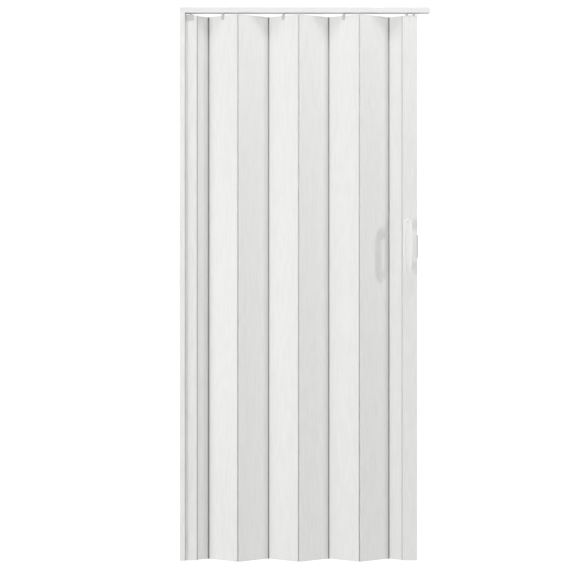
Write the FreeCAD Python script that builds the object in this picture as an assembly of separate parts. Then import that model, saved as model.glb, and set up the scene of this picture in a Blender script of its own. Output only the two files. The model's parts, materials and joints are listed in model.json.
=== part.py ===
"""Top-hung accordion door, part folded.

Frame: origin at the centre of the track's top face, X along the track towards the
closing side, Y to the back, Z up. All lengths are in mm and all angles in degrees.
"""

import FreeCAD, Part
import math
import os

V = FreeCAD.Vector
SAME_POINT = 1e-7

# Overall heights
OVERALL_HEIGHT = 2030.0
TRACK_HEIGHT = 19.5
TOP_GAP = 9.5

# Track, a C section along X, with room past the lead post in this pose
TRACK_DEPTH = 25.0
TRACK_WALL = 2.0
TRACK_SLOT = 12.5
TRACK_EDGE_R = 1.0
TRACK_FIXING_COUNT = 4
TRACK_FIXING_MARGIN = 99.0
FIXING_R = 2.25
COUNTERSINK_R = 4.4
COUNTERSINK = 1.4
OPEN_GAP = 46.05

# Wall jamb, a lipped channel along Z
JAMB_WIDTH = 20.5
JAMB_WALL = 2.0
JAMB_LIP = 6.4
JAMB_EDGE_R = 1.5
JAMB_FIXING_COUNT = 4
JAMB_FIXING_MARGIN = 105.25
JAMB_FIT = 0.1

# Folding geometry
PANEL_COUNT = 6
PANEL_WIDTH = 118.7
PANEL_THICK = 8.0
PANEL_WALL = 1.3
PANEL_RIB = 1.0
PANEL_CELL_COUNT = 5
HALF_CELL_COUNT = 2
CELL_MARGIN = 12.0
FOLD_REST = 24.86

# Panel edge at a fold: nose, hollow round the hinge tube, strip groove
NOSE_SETBACK = 0.3
NOSE_R = 0.8
EDGE_HOLLOW_R = 2.6
SLOT_OVERLAP = 1.0
GROOVE_REACH = 7.4
GROOVE_ANGLE = 28.0

# Hinge strip: tube on the axis, two webs, two anchored beads
STRIP_TUBE_R = 2.1
STRIP_BORE_R = 1.1
STRIP_WEB = 0.9
STRIP_BEAD_R = 1.65
STRIP_FIT = 0.1
SLOT_FIT = 0.15

# Post bead hinge at both ends of the curtain
BEAD_R = 2.25
BEAD_FIT = 0.05
BEAD_NECK = 1.4
MOUTH_FROM = 80.0
MOUTH_TO = 187.0

# Posts
POST_THICK = 14.0
POST_WALL = 2.0
POST_RIB = 1.6
POST_EDGE_R = 1.0
POST_LIP_R = 0.8
POST_STANDOFF = 4.8
LEAD_BOX = 41.5
LEAD_LIP = 15.0
END_BOX = 38.2
END_LIP = 22.0
END_GAP = 3.2
CAP_PLATE = 2.0
CAP_PLUG = 12.0
CAP_FIT = 0.15

# Gliders and hangers
GLIDER_LENGTH = 24.0
GLIDER_SIDE_GAP = 1.5
GLIDER_HEIGHT = 7.0
GLIDER_CORNER_R = 4.0
GLIDER_NECK_GAP = 1.75
GLIDER_DROP = 4.0
PIN_R = 2.5
PIN_FIT = 0.1
PIN_HEAD_R = 3.9
PIN_HEAD = 1.6
PIN_HEAD_FIT = 0.4
HEAD_RECESS = 2.0
RUN_GAP = 0.3
CLIP_WIDTH = 10.0
CLIP_WALL = 1.7
CLIP_BRIDGE = 2.5
CLIP_DROP = 16.0
CLIP_FIT = 0.1
BOSS_R = 3.4
PEG_R = 1.9
PEG_DROP = 8.0
LEAD_PIN_INSET = 3.5
LEAD_GLIDER_GAP = 2.0

# End post anchor
ANCHOR_FRONT = 27.0
ANCHOR_SEAT = 19.5
ANCHOR_DROP = 18.0
ANCHOR_STEM_R = 3.2
ANCHOR_STEM_INSET = 2.7
ANCHOR_HEAD_LENGTH = 20.0
ANCHOR_HEAD_GAP = 2.0
ANCHOR_HEAD_HEIGHT = 4.0

# Handles
HANDLE_HEIGHT_Z = 1153.0
HANDLE_LENGTH = 200.0
HANDLE_MID = 35.5
HANDLE_END = 25.0
HANDLE_TIP = 8.0
HANDLE_REACH = 33.0
HANDLE_THICK = 8.0
HANDLE_BOW = 11.0
HANDLE_STRAIGHT = 110.0
HANDLE_RIM = 6.8
HANDLE_DISH = 2.2
HANDLE_DISH_R = 1.5
HANDLE_EDGE_R = 1.2
FOOT_INSET = 28.5
FOOT_WIDTH = 14.0
FOOT_HEIGHT = 27.0
FOOT_CORNER_R = 6.0
CHANNEL_PITCH = 17.2
SCREW_R = 2.1
SCREW_FIT = 0.1
SCREW_TIP_GAP = 1.0
SCREW_HEAD_R = 3.6
SCREW_HEAD = 2.2
SCREW_SOCKET_R = 1.3
SCREW_SOCKET = 1.2

# Latch plate on the closing edge
LATCH_HEIGHT = 84.0
LATCH_DEPTH = 11.0
LATCH_THICK = 2.5
LATCH_CORNER_R = 2.0
LATCH_SCREW_PITCH = 64.0
LATCH_SCREW_R = 1.3
LATCH_SCREW_LENGTH = 9.0
LATCH_HEAD_R = 2.6

# Derived levels
FLOOR_Z = -OVERALL_HEIGHT
TRACK_Z = -TRACK_HEIGHT
TOP_Z = TRACK_Z - TOP_GAP
HANDLE_Z = FLOOR_Z + HANDLE_HEIGHT_Z
LIP_Z = TRACK_Z + TRACK_WALL

# Derived folding geometry: the line between two hinge axes crosses the panel's thickness
HALF_T = PANEL_THICK / 2
HALF_W = PANEL_WIDTH / 2
LINK = math.hypot(PANEL_WIDTH, PANEL_THICK)
LINK_REST = FOLD_REST - math.degrees(math.atan2(PANEL_THICK, PANEL_WIDTH))
PITCH = LINK * math.cos(math.radians(LINK_REST))
FOLD_Y = LINK * math.sin(math.radians(LINK_REST)) / 2
CURTAIN_LENGTH = (PANEL_COUNT + 1) * PITCH
FIXED_LENGTH = JAMB_WALL + END_GAP + END_BOX + POST_STANDOFF
LEAD_LENGTH = POST_STANDOFF + LEAD_BOX
TRACK_LENGTH = FIXED_LENGTH + CURTAIN_LENGTH + LEAD_LENGTH + OPEN_GAP
LEFT_PIVOT_X = FIXED_LENGTH - TRACK_LENGTH / 2
RIGHT_PIVOT_X = LEFT_PIVOT_X + CURTAIN_LENGTH
GROOVE_R = STRIP_BEAD_R + STRIP_FIT
GROOVE_SLOT = STRIP_WEB + 2 * SLOT_FIT
SOCKET_R = BEAD_R + BEAD_FIT

# Derived post, glider and handle sizes; x is counted from the post's hinge bead
POST_Y = POST_THICK / 2
TRACK_INSIDE = TRACK_DEPTH / 2 - TRACK_WALL
GLIDER_NECK_R = TRACK_SLOT / 2 - GLIDER_NECK_GAP
LEAD_PIN_FIRST = POST_STANDOFF + LEAD_PIN_INSET
LEAD_PIN_PITCH = GLIDER_LENGTH + LEAD_GLIDER_GAP
CHANNEL_HALF = SCREW_R + SCREW_FIT
FRONT_SCREW_X = POST_STANDOFF + POST_WALL + CHANNEL_HALF
REAR_SCREW_X = FRONT_SCREW_X + CHANNEL_PITCH
SCREW_BITE = POST_THICK - POST_WALL - SCREW_TIP_GAP
FOOT_PITCH = HANDLE_LENGTH - 2 * FOOT_INSET
BOW_REACH = (HANDLE_LENGTH - HANDLE_STRAIGHT) / 2
BOW_R = (BOW_REACH**2 + HANDLE_BOW**2) / (2 * HANDLE_BOW)


def polar(radius, angle):
    """A plane vector from its length and angle."""
    a = math.radians(angle)
    return V(radius * math.cos(a), radius * math.sin(a), 0)


def wire(start, *steps):
    """A closed wire: a step is a point, or a (middle, end) pair for an arc."""
    edges = []
    at = start
    for step in steps + (start,):
        if isinstance(step, tuple):
            middle, end = step
            edges.append(Part.Arc(at, middle, end).toShape())
        else:
            end = step
            if at.distanceToPoint(end) > SAME_POINT:
                edges.append(Part.makeLine(at, end))
        at = end
    return Part.Wire(edges)


def rounded(corners, radius):
    """A closed wire through convex corners, each rounded with the same radius."""
    steps = []
    count = len(corners)
    for i, corner in enumerate(corners):
        back = (corners[i - 1] - corner).normalize()
        ahead = (corners[(i + 1) % count] - corner).normalize()
        half = back.getAngle(ahead) / 2
        reach = radius / math.tan(half)
        inward = (back + ahead).normalize()
        middle = corner + inward * (radius / math.sin(half) - radius)
        steps += [corner + back * reach, (middle, corner + ahead * reach)]
    return wire(steps[0], *steps[1:])


def rectangle(x0, x1, y0, y1):
    """The corners of a rectangle in the XY plane."""
    return [V(x0, y0, 0), V(x1, y0, 0), V(x1, y1, 0), V(x0, y1, 0)]


def upright(outline, z0, z1):
    """A solid with an XY outline, from z0 to z1."""
    face = Part.Face(outline)
    face.translate(V(0, 0, z0))
    return face.extrude(V(0, 0, z1 - z0))


def block(x0, x1, y0, y1, z0, z1):
    """A plain box from its limits."""
    return Part.makeBox(x1 - x0, y1 - y0, z1 - z0, V(x0, y0, z0))


def rod(radius, start, end):
    """A cylinder from one point to another."""
    return Part.makeCylinder(radius, start.distanceToPoint(end), start, end - start)


def joined(*solids):
    """One solid from several that touch or overlap."""
    return solids[0].multiFuse(list(solids[1:])).removeSplitter()


def mirrored(shape, normal, at=V(0, 0, 0)):
    """A mirror image of a shape in a plane."""
    return shape.mirror(at, normal)


def placed(shape, angle, x, y):
    """A copy turned about Z and moved to a point of the plan."""
    copy = shape.copy()
    copy.rotate(V(0, 0, 0), V(0, 0, 1), angle)
    copy.translate(V(x, y, 0))
    return copy


def spread(low, high, margin, count):
    """Evenly spaced places between two ends, the same margin in from each."""
    step = (high - low - 2 * margin) / (count - 1)
    return [low + margin + i * step for i in range(count)]


def edge_cut(axis, angle):
    """The strip's groove and slot in a panel edge, along a ray from the hinge axis."""
    far = axis + polar(GROOVE_REACH, angle)
    groove = rod(GROOVE_R, V(far.x, far.y, FLOOR_Z), V(far.x, far.y, TOP_Z))
    side = polar(GROOVE_SLOT / 2, angle + 90)
    near = axis + polar(EDGE_HOLLOW_R - SLOT_OVERLAP, angle)
    slot = upright(wire(near + side, far + side, far - side, near - side), FLOOR_Z, TOP_Z)
    return [groove, slot]


def cells(u0, u1, count):
    """The hollow chambers of a panel between two ribs."""
    width = (u1 - u0 - (count - 1) * PANEL_RIB) / count
    high = HALF_T - PANEL_WALL
    starts = [u0 + i * (width + PANEL_RIB) for i in range(count)]
    return [block(u, u + width, -high, high, FLOOR_Z, TOP_Z) for u in starts]


def hollow_arc(axis, toward, away):
    """The arc of a panel edge round a hinge axis, from its nose to its inner face."""
    rise = math.sqrt(EDGE_HOLLOW_R**2 - NOSE_SETBACK**2)
    nose = axis + V(-toward * NOSE_SETBACK, -away * rise, 0)
    middle = axis + V(-toward, -away, 0).normalize() * EDGE_HOLLOW_R
    inner = axis + V(-toward * EDGE_HOLLOW_R, 0, 0)
    return nose, middle, inner


def nose_round(toward, away):
    """The rounded outer corner of a panel edge, from its face to its nose."""
    corner = V(toward * (HALF_W - NOSE_SETBACK), -away * HALF_T, 0)
    centre = corner + V(-toward * NOSE_R, away * NOSE_R, 0)
    middle = centre + V(toward, -away, 0).normalize() * NOSE_R
    return V(centre.x, corner.y, 0), middle, V(corner.x, centre.y, 0)


def full_panel():
    """A panel whose right edge folds to the front, centred on its own axis."""
    right, left = V(HALF_W, HALF_T, 0), V(-HALF_W, -HALF_T, 0)
    nose_r, mid_r, inner_r = hollow_arc(right, 1, 1)
    nose_l, mid_l, inner_l = hollow_arc(left, -1, -1)
    face_r, round_r, tip_r = nose_round(1, 1)
    face_l, round_l, tip_l = nose_round(-1, -1)
    outline = wire(
        face_r,
        (round_r, tip_r),
        nose_r,
        (mid_r, inner_r),
        face_l,
        (round_l, tip_l),
        nose_l,
        (mid_l, inner_l),
    )
    cuts = edge_cut(right, 180 + GROOVE_ANGLE) + edge_cut(left, GROOVE_ANGLE)
    cuts += cells(-HALF_W + CELL_MARGIN, HALF_W - CELL_MARGIN, PANEL_CELL_COUNT)
    return upright(outline, FLOOR_Z, TOP_Z).cut(cuts)


def clip_holes(panel):
    """A full panel with the hanger clip's two peg holes."""
    z = TOP_Z - PEG_DROP
    return panel.cut(rod(PEG_R + CLIP_FIT, V(0, -PANEL_THICK, z), V(0, PANEL_THICK, z)))


def half_panel():
    """The half panel at the end post, with its socket on the origin."""
    axis = V(HALF_W, -HALF_T, 0)
    nose, middle, inner = hollow_arc(axis, 1, -1)
    face, corner, tip = nose_round(1, -1)
    outline = wire(
        V(0, HALF_T, 0),
        (V(-HALF_T, 0, 0), V(0, -HALF_T, 0)),
        inner,
        (middle, nose),
        tip,
        (corner, face),
    )
    reach = 2 * HALF_T
    mouth = wire(
        V(0, 0, 0),
        polar(reach, MOUTH_FROM),
        (polar(reach, (MOUTH_FROM + MOUTH_TO) / 2), polar(reach, MOUTH_TO)),
    )
    cuts = edge_cut(axis, 180 - GROOVE_ANGLE)
    cuts += cells(2 * HALF_T, HALF_W - CELL_MARGIN, HALF_CELL_COUNT)
    cuts += [
        rod(SOCKET_R, V(0, 0, FLOOR_Z), V(0, 0, TOP_Z)),
        upright(mouth, FLOOR_Z, TOP_Z),
    ]
    return upright(outline, FLOOR_Z, TOP_Z).cut(cuts)


def hinge_strip():
    """The strip of a front fold at rest, with its tube on the origin."""
    low, high = V(0, 0, FLOOR_Z), V(0, 0, TOP_Z)
    pieces = [rod(STRIP_TUBE_R, low, high)]
    for angle in (180 + GROOVE_ANGLE - FOLD_REST, FOLD_REST - GROOVE_ANGLE):
        far = polar(GROOVE_REACH, angle)
        near = polar((STRIP_TUBE_R + STRIP_BORE_R) / 2, angle)
        side = polar(STRIP_WEB / 2, angle + 90)
        web = wire(near + side, far + side, far - side, near - side)
        pieces += [upright(web, FLOOR_Z, TOP_Z), rod(STRIP_BEAD_R, low + far, high + far)]
    return joined(*pieces).cut(rod(STRIP_BORE_R, low, high))


def glider():
    """A glider with its swivel bore on the Z axis."""
    low = LIP_Z + RUN_GAP
    high = low + GLIDER_HEIGHT
    half_l, half_w = GLIDER_LENGTH / 2, TRACK_INSIDE - GLIDER_SIDE_GAP
    shoe = rounded(rectangle(-half_l, half_l, -half_w, half_w), GLIDER_CORNER_R)
    foot = TRACK_Z - GLIDER_DROP
    neck = rod(GLIDER_NECK_R, V(0, 0, foot), V(0, 0, high))
    body = joined(upright(shoe, low, high), neck)
    bore = rod(PIN_R + PIN_FIT, V(0, 0, foot), V(0, 0, high))
    recess = rod(PIN_HEAD_R + PIN_HEAD_FIT, V(0, 0, high - HEAD_RECESS), V(0, 0, high))
    return body.cut([bore, recess])


def swivel_pin(base):
    """The boss, pin and head that carry a glider, from a level up."""
    foot = TRACK_Z - GLIDER_DROP - RUN_GAP
    seat = LIP_Z + RUN_GAP + GLIDER_HEIGHT - HEAD_RECESS + RUN_GAP
    boss = rod(BOSS_R, V(0, 0, base), V(0, 0, foot))
    pin = rod(PIN_R, V(0, 0, base), V(0, 0, seat + PIN_HEAD))
    head = rod(PIN_HEAD_R, V(0, 0, seat), V(0, 0, seat + PIN_HEAD))
    return [boss, pin, head]


def tongue(u0, u1, drop, y0, y1):
    """A clip's flat tongue with a round end, hanging from the bridge."""
    radius = (u1 - u0) / 2
    middle = (u0 + u1) / 2
    top, end = TOP_Z + CLIP_BRIDGE, TOP_Z - drop
    turn = end + radius
    outline = wire(
        V(u0, y0, top), V(u1, y0, top), V(u1, y0, turn), (V(middle, y0, end), V(u0, y0, turn))
    )
    return Part.Face(outline).extrude(V(0, y1 - y0, 0))


def hanger_clip():
    """The saddle over a panel's top edge, with its swivel pin."""
    half = CLIP_WIDTH / 2
    inner = HALF_T + CLIP_FIT
    outer = inner + CLIP_WALL
    bridge = block(-half, half, -outer, outer, TOP_Z, TOP_Z + CLIP_BRIDGE)
    z = TOP_Z - PEG_DROP
    sides = []
    for way in (-1, 1):
        sides.append(tongue(-half, half, CLIP_DROP, way * inner, way * outer))
        peg_end = way * (HALF_T - PANEL_WALL)
        sides.append(rod(PEG_R, V(0, peg_end, z), V(0, way * (inner + CLIP_WALL / 2), z)))
    return joined(bridge, *sides, *swivel_pin(TOP_Z + CLIP_BRIDGE / 2))


def post(box_from, box_to, lip_to, chambers):
    """A post extrusion with its hinge bead on the origin."""
    box = rounded(rectangle(box_from, box_to, -POST_Y, POST_Y), POST_EDGE_R)
    near = box_from if abs(box_from) < abs(box_to) else box_to
    inward = POST_WALL if near > 0 else -POST_WALL
    lip_x = sorted((lip_to, near + inward))
    neck_x = sorted((0, near + inward / 2))
    lip = rounded(rectangle(*lip_x, -POST_Y, -POST_Y + POST_WALL), POST_LIP_R)
    solid = joined(
        upright(box, FLOOR_Z, TOP_Z),
        upright(lip, FLOOR_Z, TOP_Z),
        block(*neck_x, -BEAD_NECK / 2, BEAD_NECK / 2, FLOOR_Z, TOP_Z),
        rod(BEAD_R, V(0, 0, FLOOR_Z), V(0, 0, TOP_Z)),
    )
    high = POST_Y - POST_WALL
    return solid.cut([block(a, b, -high, high, FLOOR_Z, TOP_Z) for a, b in chambers])


def lead_chambers():
    """The lead post's chambers, with a screw channel for each handle."""
    half = CHANNEL_HALF
    wall = CHANNEL_HALF + POST_RIB
    return [
        (FRONT_SCREW_X - half, FRONT_SCREW_X + half),
        (FRONT_SCREW_X + wall, REAR_SCREW_X - wall),
        (REAR_SCREW_X - half, REAR_SCREW_X + half),
        (REAR_SCREW_X + wall, LEAD_LENGTH - POST_WALL),
    ]


def lead_post():
    """The lead post, drilled for the handles and the latch plate."""
    start, end = POST_STANDOFF, LEAD_LENGTH
    solid = post(start, end, start - LEAD_LIP, lead_chambers())
    cap_seat = block(-LEAD_LIP, end, -POST_Y, POST_Y, TOP_Z - CAP_PLATE, TOP_Z)
    drills = [cap_seat]
    for height in foot_heights():
        z = HANDLE_Z + height
        drills.append(rod(CHANNEL_HALF, V(FRONT_SCREW_X, -POST_Y, z), V(FRONT_SCREW_X, POST_Y, z)))
        drills.append(rod(CHANNEL_HALF, V(REAR_SCREW_X, 0, z), V(REAR_SCREW_X, POST_Y, z)))
    for height in latch_heights():
        z = HANDLE_Z + height
        drills.append(rod(LATCH_SCREW_R + SCREW_FIT, V(end - POST_WALL, 0, z), V(end, 0, z)))
    return solid.cut(drills)


def lead_cap():
    """The plug in the lead post's top, with two swivel pins."""
    under = TOP_Z - CAP_PLATE
    outline = rounded(rectangle(POST_STANDOFF, LEAD_LENGTH, -POST_Y, POST_Y), POST_EDGE_R)
    high = POST_Y - POST_WALL - CAP_FIT
    pieces = [upright(outline, under, TOP_Z)]
    for a, b in lead_chambers()[1::2]:
        pieces.append(block(a + CAP_FIT, b - CAP_FIT, -high, high, under - CAP_PLUG, under))
    for i in range(2):
        pin = joined(*swivel_pin(TOP_Z - CAP_PLATE / 2))
        pieces.append(placed(pin, 0, LEAD_PIN_FIRST + i * LEAD_PIN_PITCH, 0))
    return joined(*pieces)


def end_post():
    """The fixed post, with its box inside the jamb."""
    far, near = -POST_STANDOFF - END_BOX, -POST_STANDOFF
    middle = (far + near) / 2
    chambers = [
        (far + POST_WALL, middle - POST_RIB / 2),
        (middle + POST_RIB / 2, near - POST_WALL),
    ]
    return post(far, near, near + END_LIP, chambers)


def end_anchor():
    """The saddle on the end post, with its stem and T-head in the track."""
    right = -POST_STANDOFF - CLIP_FIT
    left = right - ANCHOR_SEAT
    inner = POST_Y + CLIP_FIT
    outer = inner + CLIP_WALL
    low, high = TOP_Z - ANCHOR_DROP, TOP_Z + CLIP_BRIDGE
    x = right - ANCHOR_STEM_INSET
    half_l, half_w = ANCHOR_HEAD_LENGTH / 2, TRACK_INSIDE - ANCHOR_HEAD_GAP
    head_z = LIP_Z + ANCHOR_HEAD_HEIGHT
    return joined(
        block(left, right, -outer, outer, TOP_Z, high),
        block(left, left + ANCHOR_FRONT, -outer, -inner, low, high),
        block(left, right, inner, outer, low, high),
        rod(ANCHOR_STEM_R, V(x, 0, TOP_Z), V(x, 0, head_z)),
        block(x - half_l, x + half_l, -half_w, half_w, LIP_Z, head_z),
    )


def top_track():
    """The head track with its countersunk fixing holes."""
    half_l, half_d = TRACK_LENGTH / 2, TRACK_DEPTH / 2
    outline = rounded(
        [V(-half_l, -half_d, TRACK_Z), V(-half_l, half_d, TRACK_Z),
         V(-half_l, half_d, 0), V(-half_l, -half_d, 0)],
        TRACK_EDGE_R,
    )
    solid = Part.Face(outline).extrude(V(TRACK_LENGTH, 0, 0))
    cuts = [
        block(-half_l, half_l, -TRACK_INSIDE, TRACK_INSIDE, LIP_Z, -TRACK_WALL),
        block(-half_l, half_l, -TRACK_SLOT / 2, TRACK_SLOT / 2, TRACK_Z, LIP_Z),
    ]
    for x in spread(-half_l, half_l, TRACK_FIXING_MARGIN, TRACK_FIXING_COUNT):
        at = V(x, 0, -TRACK_WALL)
        cuts.append(rod(FIXING_R, at, at + V(0, 0, TRACK_WALL)))
        cuts.append(Part.makeCone(COUNTERSINK_R, FIXING_R, COUNTERSINK, at, V(0, 0, 1)))
    return solid.cut(cuts)


def wall_jamb():
    """The lipped channel on the wall, with its fixing holes."""
    left = -TRACK_LENGTH / 2
    right = left + JAMB_WIDTH
    mouth = POST_Y + JAMB_FIT
    half = mouth + JAMB_LIP
    outline = rounded(rectangle(left, right, -half, half), JAMB_EDGE_R)
    solid = upright(outline, FLOOR_Z, TRACK_Z)
    inside = half - JAMB_WALL
    cuts = [
        block(left + JAMB_WALL, right - JAMB_WALL, -inside, inside, FLOOR_Z, TRACK_Z),
        block(right - JAMB_WALL, right, -mouth, mouth, FLOOR_Z, TRACK_Z),
    ]
    for z in spread(FLOOR_Z, TRACK_Z, JAMB_FIXING_MARGIN, JAMB_FIXING_COUNT):
        cuts.append(rod(FIXING_R, V(left, 0, z), V(left + JAMB_WALL, 0, z)))
    return solid.cut(cuts)


def lens(inset):
    """The grip's outline in the XZ plane, wider in the middle, drawn in by a rim."""
    mid, end = HANDLE_MID / 2 - inset, HANDLE_END / 2 - inset
    tip = HANDLE_LENGTH / 2 - inset
    turn = tip - HANDLE_TIP + inset / 2
    return wire(
        V(end, 0, -turn),
        (V(mid, 0, 0), V(end, 0, turn)),
        (V(0, 0, tip), V(-end, 0, turn)),
        (V(-mid, 0, 0), V(-end, 0, -turn)),
        (V(0, 0, -tip), V(end, 0, -turn)),
    )


def bow_drop(z):
    """How far the grip falls back at a height from its middle: none on its straight part."""
    past = max(0, abs(z) - HANDLE_STRAIGHT / 2)
    return BOW_R - math.sqrt(BOW_R**2 - past**2)


def bow(front, back):
    """A band between two depths whose ends bend back, wider and longer than the grip."""
    straight, tip = HANDLE_STRAIGHT / 2, HANDLE_LENGTH / 2 + HANDLE_TIP
    bend = (straight + tip) / 2
    side = HANDLE_MID

    def at(depth, z):
        return V(-side, depth + bow_drop(z), z)

    outline = wire(
        at(front, -tip),
        (at(front, -bend), at(front, -straight)),
        at(front, straight),
        (at(front, bend), at(front, tip)),
        at(back, tip),
        (at(back, bend), at(back, straight)),
        at(back, -straight),
        (at(back, -bend), at(back, -tip)),
    )
    return Part.Face(outline).extrude(V(2 * side, 0, 0))


def dish():
    """The hollow in a grip's face, whose floor bends with the face and is rounded into its walls."""
    face = -HANDLE_REACH
    hollow = bow(face - HANDLE_DISH, face + HANDLE_DISH)
    solid = Part.Face(lens(HANDLE_RIM)).extrude(V(0, -2 * HANDLE_REACH, 0)).common(hollow)

    def below_face(edge):
        at = edge.CenterOfMass
        return at.y - bow_drop(at.z) > face

    rounded_edges = [e for e in solid.Edges if below_face(e) and not isinstance(e.Curve, Part.Line)]
    return solid.makeFillet(HANDLE_DISH_R, rounded_edges)


def grip():
    """A front grip with no holes, its screw line on the Z axis and its feet at y = 0."""
    front = -HANDLE_REACH
    thrown = V(0, -2 * HANDLE_REACH, 0)
    band = Part.Face(lens(0)).extrude(thrown).common(bow(front, front + HANDLE_THICK))
    band = band.makeFillet(HANDLE_EDGE_R, band.Edges)
    half_w, half_h = FOOT_WIDTH / 2, FOOT_HEIGHT / 2
    feet = []
    for z in foot_heights():
        low, high = z - half_h, z + half_h
        corners = [V(-half_w, 0, low), V(half_w, 0, low), V(half_w, 0, high), V(-half_w, 0, high)]
        foot = Part.Face(rounded(corners, FOOT_CORNER_R)).extrude(thrown)
        feet.append(foot.common(bow(front + HANDLE_THICK / 2, HANDLE_REACH)))
    return joined(band.cut(dish()), *feet)


def foot_heights():
    """The heights of a handle's two feet from its middle."""
    return [way * FOOT_PITCH / 2 for way in (-1, 1)]


def head_seat():
    """The depth of a rear screw's head seat in its handle, from the post's face."""
    return -HANDLE_REACH + bow_drop(FOOT_PITCH / 2) + HANDLE_DISH + SCREW_HEAD


def screw_length():
    """The length under the head, so that the rear screws end inside the post."""
    return SCREW_BITE - head_seat()


def through_drilled(shape):
    """A grip with holes for screws whose heads sit in its dish."""
    holes = []
    for z in foot_heights():
        outside = V(0, -HANDLE_REACH, z)
        holes.append(rod(CHANNEL_HALF, outside, V(0, 0, z)))
        holes.append(rod(SCREW_HEAD_R + SCREW_FIT, outside, V(0, head_seat(), z)))
    return shape.cut(holes)


def blind_drilled(shape):
    """A grip with holes in its feet for screws that come through the post."""
    depth = screw_length() - POST_THICK + SCREW_TIP_GAP
    return shape.cut([rod(CHANNEL_HALF, V(0, 0, z), V(0, -depth, z)) for z in foot_heights()])


def handle_screw(seat, z):
    """A handle screw whose head sits on a level in front of the post's face."""
    face = seat - SCREW_HEAD
    shank = rod(SCREW_R, V(0, seat, z), V(0, seat + screw_length(), z))
    head = rod(SCREW_HEAD_R, V(0, face, z), V(0, seat, z))
    socket = rod(SCREW_SOCKET_R, V(0, face, z), V(0, face + SCREW_SOCKET, z))
    return joined(shank, head).cut(socket)


def on_post(shape, x, back):
    """A handle piece moved to the lead post's front or back face."""
    shape = shape.copy()
    shape.translate(V(x, -POST_Y, HANDLE_Z))
    if back:
        shape = mirrored(shape, V(0, 1, 0))
    return placed(shape, 0, RIGHT_PIVOT_X, 0)


def countersunk(z, length, fit):
    """A latch screw's form from the plate's face in, or its hole with a fit."""
    depth = LATCH_HEAD_R - LATCH_SCREW_R
    seat = V(LATCH_THICK - depth, 0, z)
    shank = rod(LATCH_SCREW_R + fit, V(LATCH_THICK - length, 0, z), V(LATCH_THICK, 0, z))
    head = Part.makeCone(LATCH_SCREW_R + fit, LATCH_HEAD_R + fit, depth, seat, V(1, 0, 0))
    return joined(shank, head)


def latch_heights():
    """The heights of the latch plate's two screws from its middle."""
    return [way * LATCH_SCREW_PITCH / 2 for way in (-1, 1)]


def latch_plate():
    """The plate on the closing edge, countersunk for two screws."""
    y, z = LATCH_DEPTH / 2, LATCH_HEIGHT / 2
    corners = [V(0, -y, -z), V(0, y, -z), V(0, y, z), V(0, -y, z)]
    plate = Part.Face(rounded(corners, LATCH_CORNER_R)).extrude(V(LATCH_THICK, 0, 0))
    return plate.cut([countersunk(at, LATCH_THICK, SCREW_FIT) for at in latch_heights()])


def curtain():
    """The panels, strips, hangers and gliders at rest, by name."""
    pieces = {}
    front_type = full_panel()
    back_type = mirrored(front_type, V(0, 1, 0))
    hung = clip_holes(front_type)
    clip, shoe = hanger_clip(), glider()
    left = placed(half_panel(), FOLD_REST, LEFT_PIVOT_X, 0)
    pieces["left_half_panel"] = left
    centre = V((LEFT_PIVOT_X + RIGHT_PIVOT_X) / 2, 0, 0)
    pieces["right_half_panel"] = mirrored(left, V(1, 0, 0), centre)
    for i in range(1, PANEL_COUNT + 1):
        x = LEFT_PIVOT_X + i * PITCH
        if i % 2:
            pieces[f"panel_{i}"] = placed(hung, -FOLD_REST, x, 0)
            number = (i + 1) // 2
            pieces[f"hanger_clip_{number}"] = placed(clip, -FOLD_REST, x, 0)
            pieces[f"glider_{number}"] = placed(shoe, 0, x, 0)
        else:
            pieces[f"panel_{i}"] = placed(back_type, FOLD_REST, x, 0)
    front_strip = hinge_strip()
    back_strip = mirrored(front_strip, V(0, 1, 0))
    for i in range(1, PANEL_COUNT + 2):
        x = LEFT_PIVOT_X + (i - 0.5) * PITCH
        if i % 2:
            pieces[f"hinge_strip_{i}"] = placed(back_strip, 0, x, FOLD_Y)
        else:
            pieces[f"hinge_strip_{i}"] = placed(front_strip, 0, x, -FOLD_Y)
    return pieces


def closing_side():
    """The lead post and all that it carries, by name."""
    pieces = {
        "lead_post": placed(lead_post(), 0, RIGHT_PIVOT_X, 0),
        "lead_post_cap": placed(lead_cap(), 0, RIGHT_PIVOT_X, 0),
    }
    for i in range(2):
        x = RIGHT_PIVOT_X + LEAD_PIN_FIRST + i * LEAD_PIN_PITCH
        pieces[f"lead_glider_{i + 1}"] = placed(glider(), 0, x, 0)
    bare = grip()
    pieces["front_handle"] = on_post(blind_drilled(bare), FRONT_SCREW_X, False)
    pieces["rear_handle"] = on_post(through_drilled(bare), REAR_SCREW_X, True)
    screws = []
    for seat, x in ((0, FRONT_SCREW_X), (head_seat(), REAR_SCREW_X)):
        screws += [on_post(handle_screw(seat, z), x, True) for z in foot_heights()]
    pieces["handle_screws"] = Part.makeCompound(screws)
    edge = RIGHT_PIVOT_X + LEAD_LENGTH
    plate = latch_plate()
    small = Part.makeCompound([countersunk(z, LATCH_SCREW_LENGTH, 0) for z in latch_heights()])
    for name, shape in (("latch_plate", plate), ("latch_plate_screws", small)):
        shape.translate(V(edge, 0, HANDLE_Z))
        pieces[name] = shape
    return pieces


def fixed_side():
    """The track, the jamb, and the post held in it, by name."""
    return {
        "top_track": top_track(),
        "wall_jamb": wall_jamb(),
        "end_post": placed(end_post(), 0, LEFT_PIVOT_X, 0),
        "end_post_anchor": placed(end_anchor(), 0, LEFT_PIVOT_X, 0),
    }


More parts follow.
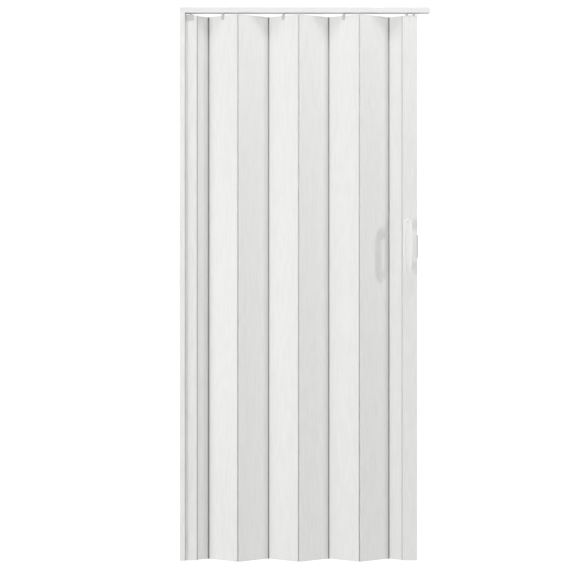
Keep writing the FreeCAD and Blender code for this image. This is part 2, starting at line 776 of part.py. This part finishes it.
def main():
    """Write every node's STEP file and print what the record needs."""
    os.makedirs("parts", exist_ok=True)
    pieces = {**fixed_side(), **curtain(), **closing_side()}
    for name, shape in pieces.items():
        shape.exportStep(f"parts/{name}.step")
        print(name, len(shape.Solids), shape.isValid(), round(shape.Volume / 1000, 1))
    print("pivots", round(LEFT_PIVOT_X, 4), round(RIGHT_PIVOT_X, 4))
    print("pitch", round(PITCH, 4), "fold_y", round(FOLD_Y, 4), "link", round(LINK, 4))
    print("link rest", round(LINK_REST, 4), "handle z", HANDLE_Z)


main()
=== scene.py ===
"""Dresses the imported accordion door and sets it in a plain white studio.

Lengths in the dataclasses are millimetres; Blender works in metres in the part's own frame,
where +X runs along the track to the closing side, +Y to the back and +Z up.
"""

from __future__ import annotations

import json
import logging
import math
from abc import ABC, abstractmethod
from collections.abc import Iterable
from dataclasses import dataclass, field
from enum import Enum
from typing import Any

import bpy
import numpy as np
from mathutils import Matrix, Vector

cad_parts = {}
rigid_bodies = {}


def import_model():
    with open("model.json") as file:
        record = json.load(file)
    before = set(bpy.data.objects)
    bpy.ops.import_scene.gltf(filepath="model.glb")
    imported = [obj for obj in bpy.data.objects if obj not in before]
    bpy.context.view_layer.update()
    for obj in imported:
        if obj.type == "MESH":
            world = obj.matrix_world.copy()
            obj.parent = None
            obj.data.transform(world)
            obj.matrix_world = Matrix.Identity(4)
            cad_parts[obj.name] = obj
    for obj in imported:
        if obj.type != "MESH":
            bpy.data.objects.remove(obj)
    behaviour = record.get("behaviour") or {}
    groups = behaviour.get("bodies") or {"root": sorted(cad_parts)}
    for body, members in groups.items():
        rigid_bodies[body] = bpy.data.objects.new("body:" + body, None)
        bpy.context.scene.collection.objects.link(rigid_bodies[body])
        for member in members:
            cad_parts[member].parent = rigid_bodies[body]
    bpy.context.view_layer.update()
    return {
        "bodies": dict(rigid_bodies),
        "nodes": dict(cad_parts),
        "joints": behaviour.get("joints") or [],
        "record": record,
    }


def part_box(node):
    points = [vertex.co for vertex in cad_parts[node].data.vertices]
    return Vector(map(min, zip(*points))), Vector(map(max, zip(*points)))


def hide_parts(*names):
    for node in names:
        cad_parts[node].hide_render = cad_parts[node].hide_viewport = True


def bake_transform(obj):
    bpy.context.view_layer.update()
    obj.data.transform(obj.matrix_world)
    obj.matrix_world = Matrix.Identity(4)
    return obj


LOG = logging.getLogger("accordion_door")
MM = 0.001
DOOR_MM = (-60.0, 0.0, -1030.0)
WHITE_VINYL = "f1f1f0"
OUTER_SIDE = "outer"

# The sRGB curve: a straight foot up to the knee, then a power.
SRGB_KNEE = 0.04045
SRGB_FOOT = 12.92
SRGB_LIFT = 0.055
SRGB_POWER = 2.4

# A mix node names its sockets alike for every data type, so they go by number.
FLOAT_A, FLOAT_B, FLOAT_RESULT = 2, 3, 0
COLOUR_A, COLOUR_B, COLOUR_RESULT = 6, 7, 2

Socket = bpy.types.NodeSocket
Node = bpy.types.Node
Tree = bpy.types.NodeTree
Material = bpy.types.Material


def linear(hex_colour: str) -> tuple[float, float, float, float]:
    """Turn an sRGB hex colour into linear light.

    Args:
        hex_colour: six hex digits, with or without a leading hash.

    Returns:
        Red, green, blue and an alpha of one.
    """
    digits = hex_colour.lstrip("#")
    parts = [int(digits[i:i + 2], 16) / 255 for i in (0, 2, 4)]
    light = [
        c / SRGB_FOOT if c <= SRGB_KNEE else ((c + SRGB_LIFT) / (1 + SRGB_LIFT)) ** SRGB_POWER
        for c in parts
    ]
    return light[0], light[1], light[2], 1.0


def add_node(
    tree: Tree, kind: str, inputs: dict[str | int, Any] | None = None, **settings: Any
) -> Node:
    """Add a node with its settings, values and links.

    Args:
        tree: the node tree to add to.
        kind: Blender's name for the node type.
        inputs: socket name or number to a value, or to an output socket to link from.
        settings: attributes of the node itself.

    Returns:
        The new node.
    """
    node = tree.nodes.new(kind)
    for name, value in settings.items():
        setattr(node, name, value)
    for key, value in (inputs or {}).items():
        socket = node.inputs[key]
        if isinstance(value, Socket):
            tree.links.new(value, socket)
        else:
            socket.default_value = value
    return node


class Grain(Enum):
    """The way that an embossed grain runs, as the two cross axes and the long one."""

    UPRIGHT = ("X", "Y", "Z")
    LEVEL = ("Y", "Z", "X")


class Inward(Enum):
    """The way along X from the edge of a lip to the upright that it belongs to."""

    PLUS_X = 1.0
    MINUS_X = -1.0


@dataclass(frozen=True)
class Finish(ABC):
    """A surface with a pattern of its own.

    Attributes:
        name: the material's name.
        colour: sRGB hex of the surface.
        roughness: roughness of the surface.
        ior: index of refraction; metals keep the default.
        metallic: one for bare metal.
    """

    name: str
    colour: str
    roughness: float
    ior: float = 1.5
    metallic: float = 0.0

    def build(self) -> Material:
        """Make the material.

        Returns:
            The new material.
        """
        material = bpy.data.materials.new(self.name)
        material.use_nodes = True
        tree = material.node_tree
        tree.nodes.clear()
        shader = add_node(tree, "ShaderNodeBsdfPrincipled", {
            "Base Color": linear(self.colour),
            "Roughness": self.roughness,
            "IOR": self.ior,
            "Metallic": self.metallic,
        })
        add_node(tree, "ShaderNodeOutputMaterial", {"Surface": shader.outputs[0]})
        self.detail(tree, shader)
        return material

    @abstractmethod
    def detail(self, tree: Tree, shader: Node) -> None:
        """Add the surface's own pattern.

        Args:
            tree: the material's tree.
            shader: the surface's shader.
        """

    def scaled(
        self, tree: Tree, sizes_mm: tuple[float, float, float], seed: float = 0.0
    ) -> Socket:
        """Object coordinates divided by a pattern's sizes.

        Args:
            tree: the material's tree.
            sizes_mm: the pattern's size along X, Y and Z.
            seed: an offset that gives another part of the pattern.

        Returns:
            The output that holds the scaled coordinates.
        """
        place = add_node(tree, "ShaderNodeTexCoord").outputs["Object"]
        scale = tuple(1 / (s * MM) for s in sizes_mm)
        mapping = {"Vector": place, "Scale": scale, "Location": (seed, seed, seed)}
        return add_node(tree, "ShaderNodeMapping", mapping).outputs[0]

    def tinted(self, tree: Tree, amount: Socket, levels: tuple[float, float], dark: str) -> Socket:
        """Run from a darker colour to the finish's own between two levels of a pattern.

        Args:
            tree: the material's tree.
            amount: the pattern.
            levels: the level that is still dark, and the one that has the finish's own colour.
            dark: sRGB hex of the dark colour.

        Returns:
            The colour output.
        """
        ramp = add_node(tree, "ShaderNodeValToRGB", {"Fac": amount})
        first, last = ramp.color_ramp.elements
        first.position, last.position = levels
        first.color, last.color = linear(dark), linear(self.colour)
        return ramp.outputs["Color"]


@dataclass(frozen=True)
class EmbossedVinyl(Finish):
    """Rigid PVC rolled with a wood grain: pores and flat-sawn arches that catch side light.

    The real pores are under a millimetre wide; they are drawn several times coarser, so that
    they show at this distance.

    Attributes:
        dark: sRGB hex at the bottom of the pores.
        dark_levels: levels of the emboss between which the dark runs out.
        grain: the way that the grain runs.
        pore_mm: width and length of a pore streak.
        pore_layers: how many finer layers of streaks lie over the first.
        pore_fineness: strength of each finer layer against the one before.
        sway_mm: width and length of the waves that bend the rings into arches.
        sway_layers: how many finer layers of waves lie over the first.
        sway_seed: the offset that sets where the arches lie.
        ring_mm: spacing of the arches across the grain.
        ring_share: the arches' share of the emboss; the rest is pores.
        depth_mm: depth of the emboss.
        relief: how much of that depth the light shows.
    """

    colour: str = WHITE_VINYL
    roughness: float = 0.5
    ior: float = 1.53
    dark: str = "e9e9e8"
    dark_levels: tuple[float, float] = (0.25, 0.62)
    grain: Grain = Grain.UPRIGHT
    pore_mm: tuple[float, float] = (4.0, 80.0)
    pore_layers: float = 3.0
    pore_fineness: float = 0.62
    sway_mm: tuple[float, float] = (70.0, 420.0)
    sway_layers: float = 1.0
    sway_seed: float = 3.1
    ring_mm: float = 9.0
    ring_share: float = 0.1
    depth_mm: float = 0.06
    relief: float = 0.6

    def sizes(self, across: float, along: float) -> tuple[float, float, float]:
        """Turn a pattern's two sizes to the grain.

        Args:
            across: size across the grain.
            along: size along the grain.

        Returns:
            Sizes along X, Y and Z.
        """
        by_axis = {axis: across for axis in self.grain.value[:2]}
        by_axis[self.grain.value[2]] = along
        return by_axis["X"], by_axis["Y"], by_axis["Z"]

    def detail(self, tree: Tree, shader: Node) -> None:
        """Emboss and tint the surface with pore streaks and arched rings.

        The pores are a noise stretched along the grain. The arches are the sine of a slow
        noise, so they follow its contour lines, one ring for each step of the noise.

        Args:
            tree: the material's tree.
            shader: the surface's shader.
        """
        pores = add_node(tree, "ShaderNodeTexNoise", {
            "Vector": self.scaled(tree, self.sizes(*self.pore_mm)),
            "Scale": 1.0, "Detail": self.pore_layers, "Roughness": self.pore_fineness,
        })
        sway = add_node(tree, "ShaderNodeTexNoise", {
            "Vector": self.scaled(tree, self.sizes(*self.sway_mm), self.sway_seed),
            "Scale": 1.0, "Detail": self.sway_layers,
        })
        rings = add_node(tree, "ShaderNodeMath", {
            0: sway.outputs["Fac"], 1: self.sway_mm[0] * 2 * math.pi / self.ring_mm,
        }, operation="MULTIPLY")
        wave = add_node(tree, "ShaderNodeMath", {0: rings.outputs[0]}, operation="SINE")
        arches = add_node(tree, "ShaderNodeMapRange", {
            "Value": wave.outputs[0], "From Min": -1.0, "From Max": 1.0,
        })
        emboss = add_node(tree, "ShaderNodeMix", {
            "Factor": self.ring_share, FLOAT_A: pores.outputs["Fac"], FLOAT_B: arches.outputs[0],
        }, data_type="FLOAT")
        height = emboss.outputs[FLOAT_RESULT]
        bump = add_node(tree, "ShaderNodeBump", {
            "Height": height, "Strength": self.relief, "Distance": self.depth_mm * MM,
        })
        colour = self.tinted(tree, height, self.dark_levels, self.dark)
        tree.links.new(colour, shader.inputs["Base Color"])
        tree.links.new(bump.outputs[0], shader.inputs["Normal"])


@dataclass(frozen=True, kw_only=True)
class ShadeLinedVinyl(EmbossedVinyl):
    """Embossed vinyl with a painted shade line along its lip's edge, for the shadow in the gap
    between the lip and the panel behind it.

    Attributes:
        edge_m: where the lip ends along X.
        inward: the way from there to the upright.
        shade_line_mm: width of the painted shade line.
        shade_fade_mm: width over which the painted shade runs out into the vinyl.
        soft: sRGB hex of the painted shade line's grey.
    """

    edge_m: float
    inward: Inward
    shade_line_mm: float
    shade_fade_mm: float = 0.4
    # soft is the grey of the painted shade line, for the shadow in the gap behind the lip.
    soft: str = "9e9e9c"

    def detail(self, tree: Tree, shader: Node) -> None:
        """Emboss the surface, then paint a grey shade line along the lip's edge.

        Args:
            tree: the material's tree.
            shader: the surface's shader.
        """
        super().detail(tree, shader)
        embossed = shader.inputs["Base Color"].links[0].from_socket
        place = add_node(tree, "ShaderNodeTexCoord").outputs["Object"]
        along = add_node(tree, "ShaderNodeSeparateXYZ", {"Vector": place}).outputs["X"]
        way = self.inward.value
        past_edge = add_node(tree, "ShaderNodeMath", {
            0: along, 1: way, 2: -way * self.edge_m,
        }, operation="MULTIPLY_ADD")
        unshaded = add_node(tree, "ShaderNodeMapRange", {
            "Value": past_edge.outputs[0],
            "From Min": (self.shade_line_mm - self.shade_fade_mm) * MM, "From Max": self.shade_line_mm * MM,
        })
        # Painted shade: grey along the lip's edge, where the gap behind the lip is in shadow.
        colour = add_node(tree, "ShaderNodeMix", {
            "Factor": unshaded.outputs[0], COLOUR_A: linear(self.soft), COLOUR_B: embossed,
        }, data_type="RGBA")
        tree.links.new(colour.outputs[COLOUR_RESULT], shader.inputs["Base Color"])


@dataclass(frozen=True, kw_only=True)
class MouldedPlastic(Finish):
    """Injection moulded plastic: a fine, even orange-peel from the mould.

    Attributes:
        dark: sRGB hex in the hollows of the ripples.
        dark_levels: levels of the ripples between which the dark runs out.
        peel_mm: size of the surface's ripples.
        peel_layers: how many finer layers of ripples lie over the first.
        depth_mm: depth of the ripples.
        relief: how much of that depth the light shows.
    """

    dark: str
    dark_levels: tuple[float, float] = (0.2, 0.6)
    peel_mm: float = 1.4
    peel_layers: float = 2.0
    depth_mm: float = 0.02
    relief: float = 0.5

    def detail(self, tree: Tree, shader: Node) -> None:
        """Ripple the surface a little and vary its colour with the ripples.

        Args:
            tree: the material's tree.
            shader: the surface's shader.
        """
        peel = add_node(tree, "ShaderNodeTexNoise", {
            "Vector": self.scaled(tree, (self.peel_mm,) * 3),
            "Scale": 1.0, "Detail": self.peel_layers,
        }).outputs["Fac"]
        bump = add_node(tree, "ShaderNodeBump", {
            "Height": peel, "Strength": self.relief, "Distance": self.depth_mm * MM,
        })
        colour = self.tinted(tree, peel, self.dark_levels, self.dark)
        tree.links.new(colour, shader.inputs["Base Color"])
        tree.links.new(bump.outputs[0], shader.inputs["Normal"])


@dataclass(frozen=True)
class CreaseShadedVinyl(Finish):
    """Soft PVC, pale on a fold's outer side; the grey on its inner side, in the crease, is painted
    shade.

    Attributes:
        inner: sRGB hex of the painted shade on the inner side.
        blend: share of the half thickness over which the tones run together.
    """

    inner: str = "a2a2a0"
    blend: float = 0.35

    def detail(self, tree: Tree, shader: Node) -> None:
        """Blend the pale tone into the painted shade across the strip's thickness.

        Args:
            tree: the material's tree.
            shader: the surface's shader.
        """
        side = add_node(tree, "ShaderNodeAttribute", attribute_name=OUTER_SIDE).outputs["Fac"]
        pale = add_node(tree, "ShaderNodeMapRange", {
            "Value": side, "From Min": -self.blend, "From Max": self.blend,
        })
        # Painted shade: the grey goes on the fold's inner side, in its crease.
        colour = self.tinted(tree, pale.outputs[0], (0.0, 1.0), self.inner)
        tree.links.new(colour, shader.inputs["Base Color"])


@dataclass(frozen=True)
class ZincPlate(Finish):
    """Zinc-plated steel: bright grey with a faint mottle from the plating bath.

    Attributes:
        mottle_mm: size of the mottle.
        mottle_layers: how many finer layers of mottle lie over the first.
        dark: sRGB hex of its darker patches.
        dark_levels: levels of the mottle between which the dark runs out.
        smoother: how far the roughness falls in the dark patches.
        rougher: how far it rises in the bright ones.
    """

    mottle_mm: float = 0.9
    mottle_layers: float = 3.0
    dark: str = "8d9092"
    dark_levels: tuple[float, float] = (0.3, 0.65)
    smoother: float = 0.08
    rougher: float = 0.12

    def detail(self, tree: Tree, shader: Node) -> None:
        """Mottle the colour and the roughness.

        Args:
            tree: the material's tree.
            shader: the surface's shader.
        """
        mottle = add_node(tree, "ShaderNodeTexNoise", {
            "Vector": self.scaled(tree, (self.mottle_mm,) * 3),
            "Scale": 1.0, "Detail": self.mottle_layers,
        }).outputs["Fac"]
        colour = self.tinted(tree, mottle, self.dark_levels, self.dark)
        rough = add_node(tree, "ShaderNodeMapRange", {
            "Value": mottle, "To Min": self.roughness - self.smoother,
            "To Max": self.roughness + self.rougher,
        })
        tree.links.new(colour, shader.inputs["Base Color"])
        tree.links.new(rough.outputs[0], shader.inputs["Roughness"])


class Palette:
    """The finishes of the door, each made once."""

    def __init__(self) -> None:
        """Make every finish that pieces share."""
        # Rolled vinyl is half dull: no highlight, only the grain in side light.
        self.panel = EmbossedVinyl("embossed_white_vinyl").build()
        # The track's vinyl has a little more sheen, drawn out along its length.
        self.track = EmbossedVinyl(
            "extruded_white_vinyl", roughness=0.45, grain=Grain.LEVEL).build()
        # Plasticised vinyl is dull, so that the folds read as flat lines; their creases get
        # painted shade.
        self.strip = CreaseShadedVinyl("soft_two_tone_vinyl", "e4e4e2", roughness=0.6, ior=1.52).build()
        # Nylon is milky and half dull, a shade darker than the vinyl.
        self.nylon = MouldedPlastic(
            "moulded_grey_nylon", "d0d1d0", roughness=0.5, ior=1.53, dark="c2c3c2").build()
        # A polished mould leaves the grips with a clear, narrow highlight.
        self.grip = MouldedPlastic(
            "gloss_white_abs", "f7f7f6", roughness=0.22, ior=1.54, dark="f1f1f0").build()
        # Bright plating, broken up by its mottle.
        self.steel = ZincPlate("zinc_plated_steel", "c9cbcc", roughness=0.35, metallic=1.0).build()
        # Baked enamel has the same even orange-peel as a moulding, and a soft sheen.
        self.latch = MouldedPlastic(
            "enamelled_steel_plate", "c4c4c3", roughness=0.35, dark="bababa").build()

    @staticmethod
    def shade_lined(node: str, colour: str, inward: Inward, shade_line_mm: float) -> Material:
        """Make an upright's vinyl, with a painted shade line along its lip's edge.

        Args:
            node: the upright's CAD node.
            colour: sRGB hex of its vinyl away from the painted shade.
            inward: the way from the lip's edge to the upright.
            shade_line_mm: width of the painted shade line.

        Returns:
            The material.
        """
        low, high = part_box(node)
        edge = float(low[0] if inward is Inward.PLUS_X else high[0])
        lip = {"edge_m": edge, "inward": inward, "shade_line_mm": shade_line_mm}
        return ShadeLinedVinyl(f"{node}_vinyl", colour, **lip).build()


@dataclass
class HingeStrip:
    """The soft vinyl strip in one fold: a tube on the fold's axis and a beaded web each way.

    Attributes:
        number: the fold's number, from the end post.
        joint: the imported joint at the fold.
        tube_mm: outer radius of the tube.
        bore_mm: inner radius of the tube.
        web_mm: thickness of the webs.
        bead_mm: radius of the beads.
        reach_mm: from the axis to a bead's centre.
        tilt_deg: how far the webs lean to the fold's outer side at rest.
        arc_steps: points on each arc of the section.
    """

    number: int
    joint: dict[str, Any]
    tube_mm: float = 2.1
    bore_mm: float = 1.1
    web_mm: float = 0.9
    bead_mm: float = 1.65
    reach_mm: float = 7.4
    tilt_deg: float = 3.14
    arc_steps: int = 10

    @property
    def node(self) -> str:
        """The CAD node that this piece stands for."""
        return f"hinge_strip_{self.number}"

    @property
    def outer_side(self) -> float:
        """One at a back fold, whose outer side is +Y, and minus one at a front fold."""
        return 1.0 if self.joint["pos_m"][1] > 0 else -1.0

    def section(self) -> np.ndarray:
        """The outer outline of a front fold's strip.

        Each arm is the web's two straight sides and the bead's arc, in a frame along the arm;
        the tube's two arcs join the arms. The outline starts and turns back at the beads' tips.

        Returns:
            Points of the plan in millimetres, anticlockwise from the right bead's tip.
        """
        half = self.web_mm / 2
        at_bead = math.asin(half / self.bead_mm)
        at_tube = math.asin(half / self.tube_mm)
        turn = np.linspace(at_bead - math.pi, math.pi - at_bead, 2 * self.arc_steps + 1)
        arc = self.bead_mm * np.stack([np.cos(turn), np.sin(turn)], 1)
        bead = arc + np.array([self.reach_mm, 0.0])
        lean = math.radians(self.tilt_deg)
        outline = []
        for angle, to in ((-lean, math.pi + lean), (math.pi + lean, 2 * math.pi - lean)):
            cos, sin = math.cos(angle), math.sin(angle)
            sweep = np.linspace(angle + at_tube, to - at_tube, self.arc_steps)
            outline.append(bead @ np.array([[cos, sin], [-sin, cos]]))
            outline.append(self.tube_mm * np.stack([np.cos(sweep), np.sin(sweep)], 1))
        return np.roll(np.concatenate(outline), -self.arc_steps, axis=0)

    def bore(self) -> np.ndarray:
        """The tube's inner circle in millimetres, anticlockwise from +X."""
        turn = np.linspace(0, 2 * math.pi, 2 * self.arc_steps, endpoint=False)
        return self.bore_mm * np.stack([np.cos(turn), np.sin(turn)], 1)

    @staticmethod
    def walls(low: np.ndarray, high: np.ndarray) -> np.ndarray:
        """Quads between a loop's lower and upper rings, facing out of an anticlockwise loop."""
        return np.stack([low, np.roll(low, -1), np.roll(high, -1), high], 1)

    @staticmethod
    def ends(outer: np.ndarray, inner: np.ndarray) -> list[np.ndarray]:
        """Two faces that close an end, split along the arms.

        Each runs along half the outline and back round half the bore.

        Args:
            outer: the outline's point numbers.
            inner: the bore's point numbers.

        Returns:
            The point numbers of each face.
        """
        half_o, half_i = len(outer) // 2, len(inner) // 2
        first = np.concatenate([outer[:half_o + 1], inner[half_i::-1]])
        round_o = np.append(outer[half_o:], outer[0])
        round_i = np.append(inner[half_i:], inner[0])
        return [first, np.concatenate([round_o, round_i[::-1]])]

    def mesh(self) -> bpy.types.Mesh:
        """Carry the section straight along the fold's axis and close both ends.

        A back fold's strip is a front fold's with Y mirrored, so its faces are turned round.

        Returns:
            The strip's mesh in place.
        """
        low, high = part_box(self.node)
        plan = np.concatenate([self.section(), self.bore()])
        bore_from, count = len(plan) - 2 * self.arc_steps, len(plan)
        flat = plan * (MM, -self.outer_side * MM) + np.array(self.joint["pos_m"][:2])
        levels = np.repeat([low[2], high[2]], count)
        points = np.column_stack([np.tile(flat, (2, 1)), levels])
        outer, inner = np.arange(bore_from), np.arange(bore_from, count)
        sides = [*self.walls(outer, outer + count), *self.walls(inner, inner + count)[:, ::-1]]
        top = self.ends(outer + count, inner + count)
        bottom = [face[::-1] for face in self.ends(outer, inner)]
        mesh = bpy.data.meshes.new(f"soft_strip_{self.number}")
        mesh.from_pydata(points.tolist(), [], [face.tolist() for face in sides + top + bottom])
        smooth = np.arange(len(mesh.polygons)) < len(sides)
        mesh.polygons.foreach_set("use_smooth", smooth)
        tone = mesh.attributes.new(OUTER_SIDE, "FLOAT", "POINT")
        tone.data.foreach_set("value", np.tile(-plan[:, 1] / self.tube_mm, 2))
        if self.outer_side > 0:
            mesh.flip_normals()
        mesh.update()
        return mesh

    def build(self, finish: Material) -> None:
        """Add the strip in its fold, between its two panels, and hide its CAD node.

        Args:
            finish: the soft vinyl.
        """
        piece = bpy.data.objects.new(f"soft_strip_{self.number}", self.mesh())
        bpy.context.scene.collection.objects.link(piece)
        piece.data.materials.append(finish)
        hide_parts(self.node)
        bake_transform(piece)
        LOG.info("bent %s across %s", piece.name, self.joint["name"])


@dataclass
class Assembly(ABC):
    """A group of the door's pieces that belong together.

    Attributes:
        frame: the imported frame.
        palette: the finishes.
    """

    frame: dict[str, Any]
    palette: Palette

    @property
    def nodes(self) -> dict[str, bpy.types.Object]:
        """The frame's CAD nodes by name."""
        return self.frame["nodes"]

    def dress(self, names: Iterable[str], finish: Material) -> None:
        """Give CAD nodes a finish.

        Args:
            names: the nodes to dress.
            finish: the material that they get.
        """
        for name in names:
            slots = self.nodes[name].data.materials
            slots.clear()
            slots.append(finish)
            LOG.info("dressed %s with %s", name, finish.name)

    @abstractmethod
    def build(self) -> None:
        """Dress the group's nodes and add its new pieces."""


@dataclass
class FixedSide(Assembly):
    """The track, the wall jamb, and the end post with its anchor.

    Attributes:
        jamb_colour: sRGB hex of the jamb's vinyl.
        jamb_shade_line_mm: width of the painted shade line along the jamb's lip.
        post_colour: sRGB hex of the end post's vinyl.
        post_shade_line_mm: width of the painted shade line along the end post's lip.
    """

    jamb_colour: str = "f6f6f5"
    jamb_shade_line_mm: float = 1.2
    post_colour: str = "f4f4f3"
    post_shade_line_mm: float = 3.0

    def build(self) -> None:
        """Dress the fixed pieces."""
        shade_lined, left = self.palette.shade_lined, Inward.MINUS_X
        self.dress(["top_track"], self.palette.track)
        # The jamb's and end post's lips get a painted shade line along their edges.
        self.dress(["wall_jamb"], shade_lined("wall_jamb", self.jamb_colour, left, self.jamb_shade_line_mm))
        self.dress(["end_post"], shade_lined("end_post", self.post_colour, left, self.post_shade_line_mm))
        self.dress(["end_post_anchor"], self.palette.nylon)


@dataclass
class Curtain(Assembly):
    """The folding panels with their hangers, gliders and strips."""

    def build(self) -> None:
        """Dress the panels and hangers, and add the strips."""
        hung = [n for n in self.nodes if n.startswith(("hanger_clip", "glider"))]
        self.dress([n for n in self.nodes if "panel" in n], self.palette.panel)
        self.dress(hung, self.palette.nylon)
        folds = [j for j in self.frame["joints"] if j["name"].startswith("fold_")]
        for number, joint in enumerate(folds, 1):
            HingeStrip(number, joint).build(self.palette.strip)


@dataclass
class LeadPost(Assembly):
    """The lead post with its cap, gliders, handles and latch plate, and all the screws.

    Attributes:
        colour: sRGB hex of the post's vinyl.
        shade_line_mm: width of the painted shade line along its lip.
    """

    colour: str = WHITE_VINYL
    shade_line_mm: float = 2.0

    def build(self) -> None:
        """Dress the lead post and what it carries."""
        # The lead post's lip gets a painted shade line along its edge.
        vinyl = self.palette.shade_lined("lead_post", self.colour, Inward.PLUS_X, self.shade_line_mm)
        self.dress(["lead_post"], vinyl)
        self.dress(["lead_post_cap", "lead_glider_1", "lead_glider_2"], self.palette.nylon)
        self.dress(["front_handle", "rear_handle"], self.palette.grip)
        self.dress([n for n in self.nodes if n.endswith("_screws")], self.palette.steel)
        self.dress(["latch_plate"], self.palette.latch)


@dataclass(frozen=True)
class AreaLight:
    """A soft box aimed at a point.

    Attributes:
        name: the light's name.
        place_mm: where it stands.
        size_mm: its width and height.
        watts: its power.
        aim_mm: the point that it faces.
    """

    name: str
    place_mm: tuple[float, float, float]
    size_mm: tuple[float, float]
    watts: float
    aim_mm: tuple[float, float, float] = DOOR_MM

    def build(self) -> None:
        """Add the light to the scene."""
        data = bpy.data.lights.new(self.name, "AREA")
        data.shape = "RECTANGLE"
        data.size, data.size_y = (s * MM for s in self.size_mm)
        data.energy = self.watts
        light = bpy.data.objects.new(self.name, data)
        light.location = Vector(self.place_mm) * MM
        aim = Vector(self.aim_mm) - Vector(self.place_mm)
        light.rotation_euler = aim.to_track_quat("-Z", "Y").to_euler()
        light.visible_camera = False
        bpy.context.scene.collection.objects.link(light)
        LOG.info("lit %s", self.name)


@dataclass
class Studio:
    """White surroundings, soft lights and the camera.

    Attributes:
        camera_mm: where the camera stands.
        focal_px: its focal length in pixels of the picture.
        picture_px: the picture's width.
        sensor_mm: width of the camera's sensor.
        sight_m: how far the camera sees.
        floor_z_mm: the floor's level, just under the hanging door.
        floor_mm: half the floor's width.
        floor_paint: share of the light that the floor gives back.
        ambient: strength of the even light from the sides and above.
        floor_glow: strength of the even light from the floor.
        in_view: strength of both where the camera sees them, a little past white.
        lights: the soft boxes.
    """

    camera_mm: tuple[float, float, float] = (-61.5, -4100.0, -1029.5)
    focal_px: float = 1115.0
    picture_px: int = 576
    sensor_mm: float = 36.0
    sight_m: float = 100.0
    floor_z_mm: float = -2040.0
    floor_mm: float = 30000.0
    floor_paint: float = 0.2
    ambient: float = 0.289
    floor_glow: float = 0.508
    in_view: float = 1.1
    lights: list[AreaLight] = field(default_factory=lambda: [
        AreaLight("key_left", (-9400.0, -5340.0, -700.0), (1320.0, 2600.0), 290.0),
        AreaLight("wide_left", (-4500.0, -1600.0, -1500.0), (1400.0, 1000.0), 37.7),
        AreaLight("fill_right", (8500.0, -6000.0, -800.0), (3500.0, 3500.0), 101.0),
        AreaLight("front_fill", (-61.0, -5000.0, 300.0), (2000.0, 2000.0), 29.6),
        AreaLight("hard_right", (10230.0, -3630.0, 2710.0), (600.0, 600.0), 230.0),
        AreaLight("top_right", (550.0, -220.0, 900.0), (600.0, 300.0), 3.0),
        AreaLight("overhead", (-61.0, -900.0, 2500.0), (2000.0, 600.0), 26.7),
        AreaLight("rear_fill", (2600.0, 4200.0, 1800.0), (2000.0, 2000.0), 80.0),
    ])

    def build(self) -> None:
        """Add the surroundings, the lights and the camera."""
        bpy.context.scene.view_settings.view_transform = "Standard"
        self.surroundings()
        self.floor()
        for light in self.lights:
            light.build()
        self.camera()

    def surroundings(self) -> None:
        """Even white light from all sides, which the camera sees as pure white."""
        world = bpy.data.worlds.new("white_studio")
        world.use_nodes = True
        tree = world.node_tree
        tree.nodes.clear()
        white = add_node(tree, "ShaderNodeBackground", {
            "Color": linear("ffffff"), "Strength": self.glow(tree, self.ambient),
        })
        add_node(tree, "ShaderNodeOutputWorld", {"Surface": white.outputs[0]})
        bpy.context.scene.world = world

    def glow(self, tree: Tree, cast: float) -> Socket:
        """A glow's strength on the door, and another where the studio itself is in view.

        Args:
            tree: the node tree to add to.
            cast: the strength on the door.

        Returns:
            The strength output.
        """
        seen = add_node(tree, "ShaderNodeLightPath").outputs["Is Camera Ray"]
        strength = {"Value": seen, "To Min": cast, "To Max": self.in_view}
        return add_node(tree, "ShaderNodeMapRange", strength).outputs[0]

    def floor(self) -> None:
        """A pale floor that stays white under the lights."""
        half, z = self.floor_mm * MM, self.floor_z_mm * MM
        square = [(-half, -half, z), (half, -half, z), (half, half, z), (-half, half, z)]
        mesh = bpy.data.meshes.new("pale_floor")
        mesh.from_pydata(square, [], [(0, 1, 2, 3)])
        floor = bpy.data.objects.new("pale_floor", mesh)
        bpy.context.scene.collection.objects.link(floor)
        material = bpy.data.materials.new("pale_floor_paint")
        material.use_nodes = True
        tree = material.node_tree
        tree.nodes.clear()
        grey = (self.floor_paint, self.floor_paint, self.floor_paint, 1.0)
        paint = add_node(tree, "ShaderNodeBsdfDiffuse", {"Color": grey})
        strength = self.glow(tree, self.floor_glow)
        glow = add_node(tree, "ShaderNodeEmission", {"Strength": strength})
        both = add_node(tree, "ShaderNodeAddShader", {0: paint.outputs[0], 1: glow.outputs[0]})
        add_node(tree, "ShaderNodeOutputMaterial", {"Surface": both.outputs[0]})
        mesh.materials.append(material)

    def camera(self) -> None:
        """The camera, level and square to the track."""
        data = bpy.data.cameras.new("camera")
        data.sensor_width = self.sensor_mm
        data.lens = self.focal_px * self.sensor_mm / self.picture_px
        data.clip_end = self.sight_m
        camera = bpy.data.objects.new("camera", data)
        camera.location = Vector(self.camera_mm) * MM
        camera.rotation_euler = (math.pi / 2, 0.0, 0.0)
        bpy.context.scene.collection.objects.link(camera)
        bpy.context.scene.camera = camera


def main() -> None:
    """Build the dressed door and its studio."""
    logging.basicConfig(level=logging.INFO, format="%(name)s: %(message)s")
    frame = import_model()
    palette = Palette()
    for part in (FixedSide(frame, palette), Curtain(frame, palette), LeadPost(frame, palette)):
        part.build()
    Studio().build()


if __name__ == "__main__":
    main()
